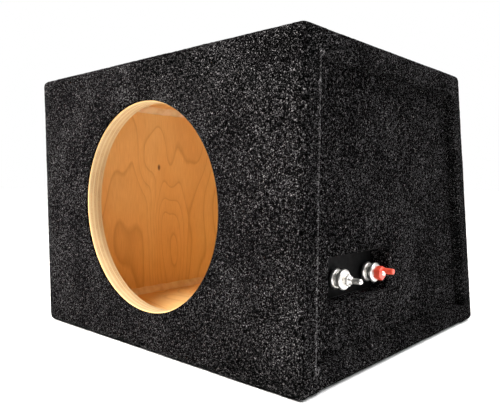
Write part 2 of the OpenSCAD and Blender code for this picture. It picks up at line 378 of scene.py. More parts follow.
@dataclass(frozen=True)
class BirchVeneer:
    """Rotary-cut birch plywood, bare and sanded.

    Peeling the log gives wide arches and islands of thin brown lines on a warm, satin ground.
    """

    ground: str = "#f4d394"
    warm: str = "#ecbf7c"
    line: str = "#a86a30"
    knot_colour: str = "#4c2410"
    figure_mm: float = 142.857
    sway_mm: float = 62.5
    tone_mm: float = 111.11
    pore_mm: float = 1.1
    rings: float = 20.0
    sway: tuple[float, float, float] = (90 * MM, 90 * MM, 160 * MM)
    drawn_out: float = 0.3
    pore_drawn_out: float = 0.06
    knot: Swell = Swell((-0.186, -0.0335, 0.217), 0.5, 50 * MM, 0.11)
    island: Swell = Swell((-0.186, -0.010, 0.076), 0.42, 60 * MM, 0.21)
    knot_mm: float = 3.2
    knot_flatten: float = 0.55

    def figure(self, tree: NodeTree, place: NodeSocket, along: NodeSocket) -> NodeSocket:
        """Work out the height of the figure, whose level lines are the rings.

        Args:
            tree: Node tree.
            place: The place on the panel.
            along: The same place, squeezed along the grain.

        Returns:
            The height.
        """
        arches = {"Vector": along, "Scale": scale_of(self.figure_mm), "Detail": 1.6, "Roughness": 0.42}
        height = add(tree, "TexNoise", arches | {"Distortion": 0.25})
        waves = {"Vector": along, "Scale": scale_of(self.sway_mm), "Detail": 1.0}
        sway = add(tree, "TexNoise", waves, out="Color")
        shift = add(tree, "VectorMath", {0: sway, 1: (0.5, 0.5, 0.5)}, operation="SUBTRACT")
        bent = add(tree, "VectorMath", {0: shift, 1: self.sway, 2: place}, operation="MULTIPLY_ADD")
        for swell in (self.knot, self.island):
            gap = distance(tree, bent, swell.centre, swell.flatten)
            hill = {0: gap, 2: swell.reach, 3: swell.lift, 4: 0.0}
            rise = add(tree, "MapRange", hill, interpolation_type="SMOOTHSTEP")
            height = add(tree, "Math", {0: height, 1: rise}, operation="ADD")
        return height

    def build(self, grain: Grain) -> Material:
        """Make the material for one way of the grain.

        Args:
            grain: How the veneer lies.

        Returns:
            The material.
        """
        material, tree, shader = new_material("birch_veneer_" + grain.name.lower())
        place = add(tree, "TexCoord", out="Object")
        along = add(tree, "Mapping", {"Vector": place, "Scale": grain.squeeze(self.drawn_out)})
        height = self.figure(tree, place, along)
        rings = add(tree, "Math", {0: height, 1: self.rings}, operation="MULTIPLY")
        saw = add(tree, "Math", {0: rings}, operation="FRACT")
        # Each ring darkens slowly towards its late wood and ends in a thin line.
        ramp = ((0.0, "#000000"), (1.0, "#000000"), (0.50, "#202020"), (0.84, "#6a6a6a"), (0.94, "#cccccc"))
        late = add(tree, "ValToRGB", {"Fac": saw}, ramp)
        late_part = add(tree, "Math", {0: late, 1: 0.55}, operation="MULTIPLY")
        pore_place = add(tree, "Mapping", {"Vector": place, "Scale": grain.squeeze(self.pore_drawn_out)})
        pores = add(tree, "TexNoise", {"Vector": pore_place, "Scale": scale_of(self.pore_mm)})
        streak = add(tree, "MapRange", {0: pores, 1: 0.35, 2: 0.75, 4: 0.22})
        reach = distance(tree, place, self.knot.centre, self.knot_flatten)
        radius = self.knot_mm * MM
        is_knot = add(tree, "MapRange", {0: reach, 1: radius * 0.4, 2: radius, 3: 0.9, 4: 0.0})
        tone = add(tree, "TexNoise", {"Vector": along, "Scale": scale_of(self.tone_mm)})
        base = add(tree, "ValToRGB", {"Fac": tone}, ((0.34, self.warm), (0.66, self.ground)))
        layers = ((streak, self.line), (late_part, self.line), (is_knot, self.knot_colour))
        colour = tinted(tree, base, layers)
        bump = add(tree, "Bump", {"Height": pores, "Strength": 0.12, "Distance": 0.2 * MM})
        set_inputs(shader, {"Base Color": colour, "Normal": bump})
        set_inputs(shader, {"Roughness": 0.5, "Specular IOR Level": 0.35})
        return material


@dataclass(frozen=True)
class PlywoodEdge:
    """The cut edge of plywood round the driver cutout.

    Plies with the grain along the cut are cream and those across it are duller, with thin brown glue
    lines between them. The saw leaves faint marks across the plies.
    """

    cream: str = "#bda67f"
    cross: str = "#a9875d"
    glue: str = "#60391a"
    plies: float = 7.0
    thickness: float = 19 * MM
    front: float = 0.0
    waver_mm: float = 45.4545
    waver: float = 0.5
    patch_mm: float = 16.6667
    mottle_mm: float = 1.1111
    line_part: float = 0.15

    def build(self) -> Material:
        """Make the material.

        Returns:
            The material.
        """
        material, tree, shader = new_material("plywood_cut_edge")
        place = add(tree, "TexCoord", out="Object")
        depth = add(tree, "SeparateXYZ", {0: place}, out="Y")
        ply = add(tree, "MapRange", {0: depth, 1: self.front, 2: self.front + self.thickness, 4: self.plies})
        waver = add(tree, "TexNoise", {"Vector": place, "Scale": scale_of(self.waver_mm)})
        wavy = add(tree, "Math", {0: waver, 1: self.waver, 2: ply}, operation="MULTIPLY_ADD")
        bent = add(tree, "Math", {0: wavy, 1: self.waver / 2}, operation="SUBTRACT")
        saw = add(tree, "Math", {0: bent}, operation="FRACT")
        # Every other ply lies across the cut.
        half = add(tree, "Math", {0: bent, 1: 0.5}, operation="MULTIPLY")
        turn = add(tree, "Math", {0: half}, operation="FRACT")
        crossing = add(tree, "Math", {0: turn, 1: 0.5}, operation="GREATER_THAN")
        mottle = add(tree, "TexNoise", {"Vector": place, "Scale": scale_of(self.mottle_mm)})
        cut = add(tree, "MapRange", {0: mottle, 1: 0.3, 2: 0.8, 3: 0.25})
        dull = add(tree, "Math", {0: crossing, 1: cut}, operation="MULTIPLY")
        patchy = add(tree, "TexNoise", {"Vector": place, "Scale": scale_of(self.patch_mm), "Detail": 1.0})
        strength = add(tree, "MapRange", {0: patchy, 1: 0.44, 2: 0.60, 3: 0.16})
        seam = add(tree, "MapRange", {0: saw, 2: self.line_part, 3: 1.0, 4: 0.0})
        glued = add(tree, "Math", {0: seam, 1: strength}, operation="MULTIPLY")
        colour = tinted(tree, linear(self.cream), ((dull, self.cross), (glued, self.glue)))
        bump = add(tree, "Bump", {"Height": mottle, "Strength": 0.25, "Distance": 0.15 * MM})
        set_inputs(shader, {"Base Color": colour, "Normal": bump})
        set_inputs(shader, {"Roughness": 0.62, "Specular IOR Level": 0.3})
        return material


@dataclass(frozen=True)
class PlainFinish:
    """A finish of one colour with a fine grain, worn or cloudy in places.

    Attributes:
        name: What the real material is called.
        colour: Its usual colour.
        other: The colour that it drifts to.
        drift_mm: Size of the drift.
        metallic: 1 for a metal.
        roughness: Middle of its roughness.
        spread: How far the roughness varies.
        grain_mm: Size of the surface grain.
        bump: Strength of the grain.
        coat: Weight of a clear coat.
        scatter: How much light passes into it.
        specular: Strength of its reflections.
    """

    name: str
    colour: str
    other: str
    drift_mm: float
    metallic: float = 0.0
    roughness: float = 0.4
    spread: float = 0.08
    grain_mm: float = 0.2
    bump: float = 0.1
    coat: float = 0.0
    scatter: float = 0.0
    specular: float = 0.5

    def build(self) -> Material:
        """Make the material.

        Returns:
            The material.
        """
        material, tree, shader = new_material(self.name)
        place = add(tree, "TexCoord", out="Object")
        drift = add(tree, "TexNoise", {"Vector": place, "Scale": scale_of(self.drift_mm)})
        fine = add(tree, "TexNoise", {"Vector": place, "Scale": scale_of(self.grain_mm)})
        low, high = self.roughness - self.spread, self.roughness + self.spread
        look = {
            "Base Color": add(tree, "ValToRGB", {"Fac": drift}, ((0.38, self.colour), (0.66, self.other))),
            "Roughness": add(tree, "MapRange", {0: drift, 1: 0.35, 2: 0.65, 3: low, 4: high}),
            "Normal": add(tree, "Bump", {"Height": fine, "Strength": self.bump, "Distance": 0.1 * MM}),
            "Metallic": self.metallic,
            "Specular IOR Level": self.specular,
            "Coat Weight": self.coat,
            "Subsurface Weight": self.scatter,
            "Subsurface Scale": 1.5 * MM,
        }
        set_inputs(shader, look)
        return material


# Bright nickel over turned brass: a warm white mirror, a little hazy where fingers have been.
NICKEL = PlainFinish(
    "bright_nickel_plate",
    "#f6f4f1",
    "#eae6df",
    4.0,
    metallic=1.0,
    roughness=0.42,
    spread=0.07,
    grain_mm=0.25,
    bump=0.04,
)
# Yellow zinc on steel screws and nuts: satin, with a faint gold cast.
ZINC = PlainFinish("yellow_zinc_plated_steel", "#c9b777", "#b3a77e", 3.0, metallic=1.0, roughness=0.34)
# Black oxide on steel: nearly black, with a soft metal sheen.
BLACK_OXIDE = PlainFinish("black_oxide_steel", "#1a1a1b", "#26262a", 3.0, metallic=1.0, roughness=0.42)
# Tinned brass: grey-yellow, dull where the tin is thick.
TINNED_BRASS = PlainFinish(
    "tinned_brass", "#cfc6a4", "#b9a877", 3.0, metallic=1.0, roughness=0.3, spread=0.1, bump=0.08
)
# Tempered hardboard, faced in black: a flat, faintly pebbled sheet.
HARDBOARD = PlainFinish(
    "black_faced_hardboard", "#040404", "#070708", 6.0, roughness=0.7, grain_mm=0.5, bump=0.35, specular=0.12
)
# Closed-cell foam tape: black, matt and porous.
FOAM = PlainFinish(
    "closed_cell_foam", "#121213", "#1c1c1e", 2.0, roughness=0.9, spread=0.05, grain_mm=0.5, bump=0.8
)
# Injection-moulded nylon: deep black with a soft moulded gloss.
NYLON = PlainFinish("moulded_black_nylon", "#0e0e10", "#141417", 5.0, roughness=0.36, spread=0.05, bump=0.06)
# Dip-moulded vinyl: saturated red, slightly see-through, with a wet gloss.
RED_VINYL = PlainFinish(
    "dip_moulded_red_vinyl",
    "#d8452f",
    "#e0563e",
    4.0,
    roughness=0.34,
    spread=0.05,
    grain_mm=0.5,
    bump=0.05,
    coat=0.25,
    scatter=0.15,
)
# Dried acrylic sealant: pale, cloudy and softly glossy where a finger smoothed it.
SEALANT = PlainFinish(
    "acrylic_sealant",
    "#ecd9bd",
    "#dcc19b",
    14.0,
    roughness=0.38,
    spread=0.1,
    grain_mm=1.5,
    bump=0.25,
    coat=0.2,
    scatter=0.3,
)


# ---- The enclosure's outline ----

# Parts of the round over an edge of the enclosure.
CORNER_PARTS = 6


@dataclass(frozen=True)
class Outline:
    """The wedge in the Y-Z plane, and the layers inside it. All of it is read from the CAD frame.

    Attributes:
        front: Y of the front face.
        rear: Y where the rear and base faces would meet.
        height: Height of the enclosure.
        lean: How far the rear comes forward for each unit of height.
        side: X of the right side. The left is its mirror.
        carpet: Thickness of the carpet.
        panel: Thickness of the panels.
        end_skin: X of the face of the right end.
        round: Radius of the carpet over the edges.
    """

    front: float
    rear: float
    height: float
    lean: float
    side: float
    carpet: float
    panel: float
    end_skin: float
    round: float = 8 * MM

    @classmethod
    def from_frame(cls) -> "Outline":
        """Read the outline from the CAD nodes' boxes.

        Returns:
            The outline.
        """
        wrap_lo, wrap_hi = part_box("wrap_carpet")
        baffle_lo, baffle_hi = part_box("front_baffle")
        base_lo, base_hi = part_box("bottom_panel")
        top_lo, top_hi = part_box("top_panel")
        lean = (base_hi.y - top_hi.y) / (top_lo.z - base_lo.z)
        panel = baffle_hi.y - baffle_lo.y
        carpet = baffle_lo.y - wrap_lo.y
        inset = panel + carpet
        rear = base_hi.y + inset * math.hypot(1, lean) + lean * base_lo.z
        end_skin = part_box("right_end_carpet")[1].x
        return cls(wrap_lo.y, rear, wrap_hi.z, lean, wrap_hi.x, carpet, panel, end_skin)

    def rear_at(self, z: float, inset: float) -> float:
        """Return Y of the rear face at height z, moved inwards by inset."""
        return self.rear - self.lean * z - inset * math.hypot(1, self.lean)

    def corners(self, inset: float) -> list[Vector]:
        """List the corners: front base, rear base, rear top and front top.

        Args:
            inset: How far inside the outer face.

        Returns:
            The four corners, in (y, z).
        """
        low, high = inset, self.height - inset
        return [
            Vector((self.front + inset, low)),
            Vector((self.rear_at(low, inset), low)),
            Vector((self.rear_at(high, inset), high)),
            Vector((self.front + inset, high)),
        ]

    def normal(self, edge: int) -> Vector:
        """Find the way out of an edge.

        Args:
            edge: Its number. It runs from the corner of that number to the next.

        Returns:
            Its outward normal, in (y, z).
        """
        a, b = self.corners(0.0)[edge % 4], self.corners(0.0)[(edge + 1) % 4]
        along = (b - a).normalized()
        return Vector((along.y, -along.x))

    def on_edge(self, edge: int, share: float, inset: float) -> Vector:
        """Find a point on the straight part of an edge.

        Args:
            edge: Number of the edge.
            share: From 0 at its first end to 1 at its last.
            inset: How far inside the outer face.

        Returns:
            The point, in (y, z).
        """
        core = self.corners(max(inset, self.round))
        out = self.normal(edge) * max(0.0, self.round - inset)
        a, b = core[edge % 4] + out, core[(edge + 1) % 4] + out
        return a.lerp(b, share)

    def on_corner(self, corner: int, share: float, inset: float) -> Vector:
        """Find a point on the round of a corner, or on its mitre where the round has ended.

        Args:
            corner: Number of the corner.
            share: From 0 at the edge before it to 1 at the edge after it.
            inset: How far inside the outer face.

        Returns:
            The point, in (y, z).
        """
        core = self.corners(max(inset, self.round))[corner % 4]
        before, after = self.normal(corner - 1), self.normal(corner)
        turn = before.angle_signed(after)
        angle = math.atan2(before.y, before.x) - turn * share
        return core + Vector((math.cos(angle), math.sin(angle))) * max(0.0, self.round - inset)


@dataclass
class Station:
    """One place along the outline: on an edge, or on the round of a corner."""

    number: int
    share: float
    is_corner: bool = False

    def at(self, outline: Outline, inset: float) -> Vector:
        """Return the place in (y, z) at that inset."""
        where = outline.on_corner if self.is_corner else outline.on_edge
        return where(self.number, self.share, inset)


def path_round(outline: Outline, start: float, edges: list[int], step: float, stop: float) -> list[Station]:
    """List the stations along the outline, over the corners between the edges.

    Args:
        outline: The wedge.
        start: Share of the first edge that the path starts at.
        edges: Numbers of the edges, in order.
        step: Distance between stations.
        stop: Share of the last edge that it stops at.

    Returns:
        The stations.
    """
    stations: list[Station] = []
    for i, edge in enumerate(edges):
        a = start if i == 0 else 0.0
        b = stop if i == len(edges) - 1 else 1.0
        length = (outline.on_edge(edge, b, 0.0) - outline.on_edge(edge, a, 0.0)).length
        count = max(2, round(length / step))
        stations += [Station(edge, a + (b - a) * k / count) for k in range(count + 1)]
        if i < len(edges) - 1:
            stations += [Station(edge + 1, k / CORNER_PARTS, True) for k in range(1, CORNER_PARTS)]
    return stations


# ---- Carpet ----

# Gives the place of the point in a row and a column.
GridPlace = Callable[[int, int], Vector]
# Parts of the section of a wrapped face: on a recess's wall, and on the round at its mouth.
WALL_ROWS = 4
MOUTH_PARTS = 4
# Columns of the round at a recess's mouth, which carry the painted edge highlight.
MOUTH_HIGHLIGHT_COLUMNS = range(WALL_ROWS, WALL_ROWS + MOUTH_PARTS + 1)
# Sizes of the tufts and of the slow unevenness in the carpet's surface.
TUFT = 4.2 * MM
UNEVEN = 55 * MM


def sheet_grid(rows: int, columns: int, place: GridPlace, highlight_columns: range = range(0)) -> BMesh:
    """Lay a grid of cloth and move each of its points to its place.

    Args:
        rows: Points along the first way.
        columns: Points along the second way.
        place: Gives the place of the point in that row and column.
        highlight_columns: Columns, counted from either side, that carry a painted highlight where the sheet
            is bent over a tight edge.

    Returns:
        The sheet.
    """
    bm = bmesh.new()
    # Painted highlight: this layer is 1 on the highlight columns, where the carpet is drawn lighter.
    layer = bm.verts.layers.float.new("painted_edge_highlight")
    bmesh.ops.create_grid(bm, x_segments=rows - 1, y_segments=columns - 1, size=1.0)
    for vertex in bm.verts:
        i = round((vertex.co.x + 1) / 2 * (rows - 1))
        j = round((vertex.co.y + 1) / 2 * (columns - 1))
        vertex.co = place(i, j)
        vertex[layer] = float(min(j, columns - 1 - j) in highlight_columns)
    return bm


def point_out(bm: BMesh, outward: Callable[[Vector], Vector]) -> None:
    """Turn a sheet's faces so that they point outwards.

    Args:
        bm: The sheet, whose faces all point the same way.
        outward: Gives the outward direction at a point.
    """
    bm.normal_update()
    face = max(bm.faces, key=lambda f: f.calc_area())
    if face.normal.dot(outward(face.calc_center_median())) < 0:
        bmesh.ops.reverse_faces(bm, faces=bm.faces[:])
    bm.normal_update()


def ruffle(bm: BMesh, nap: float, sag: float, still: Callable[[Vector], float]) -> None:
    """Raise and lower a carpet's surface as its matted fibres do.

    Args:
        bm: The carpet.
        nap: Height of the tufts.
        sag: Height of the slow unevenness of the cloth and glue.
        still: Gives 0 where the carpet is held, as at a cut edge, and 1 where it is free.
    """
    bm.normal_update()
    moves = []
    for vertex in bm.verts:
        tuft = noise.noise(vertex.co / TUFT) * 0.6 + noise.noise(vertex.co / (TUFT / 2)) * 0.4
        slow = noise.noise(vertex.co / UNEVEN)
        moves.append(vertex.normal * (nap * tuft + sag * slow) * still(vertex.co))
    for vertex, move in zip(bm.verts, moves):
        vertex.co += move


@dataclass
class Hole:
    """A hole in a sheet: a rounded rectangle or, with no straight part, a circle.

    Attributes:
        centre: Centre, in the two axes of the sheet.
        half: Half the straight lengths.
        radius: Corner radius.
        axes: The two axes of the sheet, 0 to 2.
    """

    centre: tuple[float, float]
    half: tuple[float, float]
    radius: float
    axes: tuple[int, int]

    def nearest(self, point: Vector) -> tuple[Vector, float]:
        """Find the outward direction and the distance from the rim.

        Args:
            point: A point in space.

        Returns:
            The outward direction, and the distance, which is negative inside the hole.
        """
        flat = Vector((point[self.axes[0]] - self.centre[0], point[self.axes[1]] - self.centre[1]))
        core = Vector([max(-h, min(h, c)) for c, h in zip(flat, self.half)])
        off = flat - core
        if off.length < 1e-9:
            return Vector((1, 0)), -self.radius
        return off.normalized(), off.length - self.radius

    def moved(self, point: Vector, distance: float) -> Vector:
        """Move a point straight out from the rim or towards it.

        Args:
            point: The point.
            distance: Its new distance from the rim.

        Returns:
            The moved point.
        """
        direction, now = self.nearest(point)
        out = point.copy()
        for axis, part in zip(self.axes, direction):
            out[axis] += part * (distance - now)
        return out

    def freedom(self, point: Vector, lip: float, fade: float) -> float:
        """Return how free the cloth is, from 0 at the lip of the hole to 1 at the distance fade beyond it."""
        return min(1.0, max(0.0, self.nearest(point)[1] - lip) / fade)

    def cut(self, bm: BMesh, applies: Callable[[Vector], bool], lip: float) -> list[BMEdge]:
        """Cut the hole in a sheet, wider than it is by lip.

        Args:
            bm: The sheet.
            applies: True where the sheet is in the plane of the hole.
            lip: Room left for a rounded lip.

        Returns:
            The edges round the cut.
        """
        inside = {v for v in bm.verts if applies(v.co) and self.nearest(v.co)[1] < lip}
        gone = [f for f in bm.faces if all(v in inside for v in f.verts)]
        bmesh.ops.delete(bm, geom=gone, context="FACES")
        rim = [e for e in bm.edges if e.is_boundary and all(v in inside for v in e.verts)]
        for vertex in {v for e in rim for v in e.verts}:
            vertex.co = self.moved(vertex.co, lip)
        return rim

    def turn_in(self, bm: BMesh, rim: list[BMEdge], depth: Vector, lip: float, depths: list[float]) -> None:
        """Roll the sheet over a round lip and run it down the wall of the hole.

        Args:
            bm: The sheet.
            rim: Edges round the cut.
            depth: Unit vector into the hole.
            lip: Radius of the lip.
            depths: Depths of the rings down the wall, below the lip.
        """
        rings = arc((lip, lip), lip, -90, -180, 4)[1:] + [(0.0, d) for d in depths]
        face = {v: v.co.copy() for e in rim for v in e.verts}
        for distance, down in rings:
            made = bmesh.ops.extrude_edge_only(bm, edges=rim)["geom"]
            new = [g for g in made if isinstance(g, BMVert)]
            old = {v for e in rim for v in e.verts}
            rim = [g for g in made if isinstance(g, BMEdge) and g.is_boundary]
            starts = {}
            for vertex in new:
                before = next(e.other_vert(vertex) for e in vertex.link_edges if e.other_vert(vertex) in old)
                starts[vertex] = face[before]
            for vertex, start in starts.items():
                vertex.co = self.moved(start, distance) + depth * down
            face = starts


def edge_profile(outline: Outline, step: float, inner_round: float) -> Section:
    """List the section of a wrapped face from one end recess to the other.

    It runs up the wall of the left recess, over the edge of the panel, along the face and down into the
    right recess.

    Args:
        outline: The wedge.
        step: Distance between points on the face.
        inner_round: Radius of the carpet at the mouth of the recess.

    Returns:
        Pairs of x and inset.
    """
    wall = outline.panel + 2 * outline.carpet
    mouth = outline.side - inner_round
    half = [(outline.end_skin + (mouth - outline.end_skin) * k / WALL_ROWS, wall) for k in range(WALL_ROWS)]
    half += arc((mouth, wall - inner_round), inner_round, 90, 0, MOUTH_PARTS)
    flat_from, flat_to = wall - inner_round, outline.round
    rows = round((flat_from - flat_to) / step)
    half += [(outline.side, flat_from + (flat_to - flat_from) * k / rows) for k in range(1, rows)]
    reach = outline.side - outline.round
    half += arc((reach, outline.round), outline.round, 0, -90, CORNER_PARTS - 1)
    count = round(2 * reach / step)
    face = [(-reach + 2 * reach * k / count, 0.0) for k in range(1, count)]
    return [(-x, inset) for x, inset in half] + face + half[::-1]


@dataclass
class CarpetCovering:
    """The wrap, the base piece and the two end pieces."""

    outline: Outline
    material: Material
    step: float = 2.45 * MM
    base_step: float = 5 * MM
    base_row_step: float = 6 * MM
    inner_round: float = 3.5 * MM
    seam: float = 0.06
    nap: float = 0.42 * MM
    sag: float = 0.35 * MM
    cutout_lip: float = 1.0 * MM
    cutout_fade: float = 3 * MM
    slot_lip: float = 2.5 * MM
    slot_fade: float = 4 * MM
    slot_rings: int = 8
    lap: float = 0.012
    lap_depth: float = 0.8 * MM
    cutout: Hole = field(init=False)
    slot: Hole = field(init=False)
    slot_depth: float = field(init=False)

    def __post_init__(self) -> None:
        """Read the two holes from the frame."""
        lo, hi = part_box("terminal_board")
        half_y, half_z = (hi.y - lo.y) / 2 - BOARD_LAP, (hi.z - lo.z) / 2 - BOARD_LAP
        self.cutout = Hole((0.0, self.outline.height / 2), (0.0, 0.0), CUTOUT_R + CARPET_TRIM, (0, 2))
        centre = ((lo.y + hi.y) / 2, (lo.z + hi.z) / 2)
        self.slot = Hole(centre, (half_y - SLOT_R, half_z - SLOT_R), SLOT_R, (1, 2))
        self.slot_depth = self.outline.end_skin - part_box("board_gasket")[0].x

    def wrap_place(self, stations: list[Station], profile: Section) -> GridPlace:
        """Make the function that gives a wrapped sheet its places.

        Args:
            stations: Places along the outline, one for each row.
            profile: Pairs of x and inset, one for each column.

        Returns:
            The function.
        """

        def place(i: int, j: int) -> Vector:
            """Find a place.

            Args:
                i: Number of the row.
                j: Number of the column.

            Returns:
                The place.
            """
            x, inset = profile[j]
            flat = stations[i].at(self.outline, inset)
            return Vector((x, flat.x, flat.y))

        return place

    def outward(self, point: Vector) -> Vector:
        """Return the way out from the middle of the enclosure."""
        return point - Vector((0, (self.outline.front + self.outline.rear) / 2, self.outline.height / 2))

    def build_wrap(self) -> bpy.types.Object:
        """Make the carpet over the front, top and rear, turned in at both ends and round the base edges.

        Returns:
            The piece.
        """
        outline = self.outline
        stations = path_round(outline, 1 - self.seam, [0, 1, 2, 3, 4], self.step, self.seam)
        profile = edge_profile(outline, self.step, self.inner_round)
        bm = sheet_grid(len(stations), len(profile), self.wrap_place(stations, profile), MOUTH_HIGHLIGHT_COLUMNS)
        # The painted edge highlight stays only where the mouth rounds lie along the front.
        painted_edge_highlight = bm.verts.layers.float["painted_edge_highlight"]
        for vertex in bm.verts:
            vertex[painted_edge_highlight] *= vertex.co.y < outline.front + outline.panel + 3 * outline.carpet
        bmesh.ops.remove_doubles(bm, verts=bm.verts[:], dist=0.02 * MM)
        point_out(bm, self.outward)
        front, lip = outline.front, self.cutout_lip
        rim = self.cutout.cut(bm, lambda p: abs(p.y - front) < MM / 2, lip)

        def freedom(point: Vector) -> float:
            """Return how free the cloth is at a point."""
            return self.cutout.freedom(point, lip, self.cutout_fade) if point.y < front + MM else 1.0

        ruffle(bm, self.nap, self.sag, freedom)
        self.cutout.turn_in(bm, rim, Vector((0, 1, 0)), lip, [outline.carpet])
        return finish_piece(bm, "wrap_carpet_cloth", self.material, "wrap_carpet", sharp=None)

    def build_base(self) -> bpy.types.Object:
        """Make the carpet under the base, whose ends lie under the wrap.

        Returns:
            The piece.
        """
        start = self.seam - self.lap
        stations = path_round(self.outline, start, [0], self.base_row_step, 1 - start)
        under = self.lap_depth
        profile = [
            (math.copysign(max(0.0, abs(x) - under), x) if inset > under else x, inset + under)
            for x, inset in edge_profile(self.outline, self.base_step, self.inner_round)
        ]
        bm = sheet_grid(len(stations), len(profile), self.wrap_place(stations, profile))
        point_out(bm, self.outward)
        ruffle(bm, self.nap * 0.5, 0.0, lambda p: float(p.z > MM))
        return finish_piece(bm, "base_carpet_cloth", self.material, "base_carpet", sharp=None)

    def build_end(self, side: int) -> bpy.types.Object:
        """Make the carpet on one end panel.

        Args:
            side: 1 for the right end, which has the slot, and -1 for the left.

        Returns:
            The piece.
        """
        outline = self.outline
        corners = outline.corners(outline.panel + outline.carpet + MM)
        rows = round((corners[1] - corners[0]).length / self.step)
        columns = round((corners[3] - corners[0]).length / self.step)

        def place(i: int, j: int) -> Vector:
            """Find a place.

            Args:
                i: Number of the row.
                j: Number of the column.

            Returns:
                The place.
            """
            low = corners[0].lerp(corners[1], i / (rows - 1))
            high = corners[3].lerp(corners[2], i / (rows - 1))
            flat = low.lerp(high, j / (columns - 1))
            return Vector((side * outline.end_skin, flat.x, flat.y))

        bm = sheet_grid(rows, columns, place)
        point_out(bm, lambda p: Vector((side, 0, 0)))
        name, lip = "left_end_carpet", self.slot_lip
        if side < 0:
            ruffle(bm, self.nap, self.sag, lambda p: 1.0)
        else:
            name = "right_end_carpet"
            rim = self.slot.cut(bm, lambda p: True, lip)
            ruffle(bm, self.nap, self.sag, lambda p: self.slot.freedom(p, lip, self.slot_fade))
            step = (self.slot_depth - lip) / self.slot_rings
            rings = [lip + step * (k + 1) for k in range(self.slot_rings)]
            self.slot.turn_in(bm, rim, Vector((-1, 0, 0)), lip, rings)
        return finish_piece(bm, name + "_cloth", self.material, name, sharp=None)

    def build(self) -> None:
        """Make every piece of carpet."""
        outline = self.outline
        wrap = self.build_wrap()
        base = self.build_base()
        around = 2 * outline.height + outline.rear_at(outline.height, 0) - outline.front
        for side, panel in ((-1, "left_end_panel"), (1, "right_end_panel")):
            end = self.build_end(side)


# ---- Wood and sealant ----


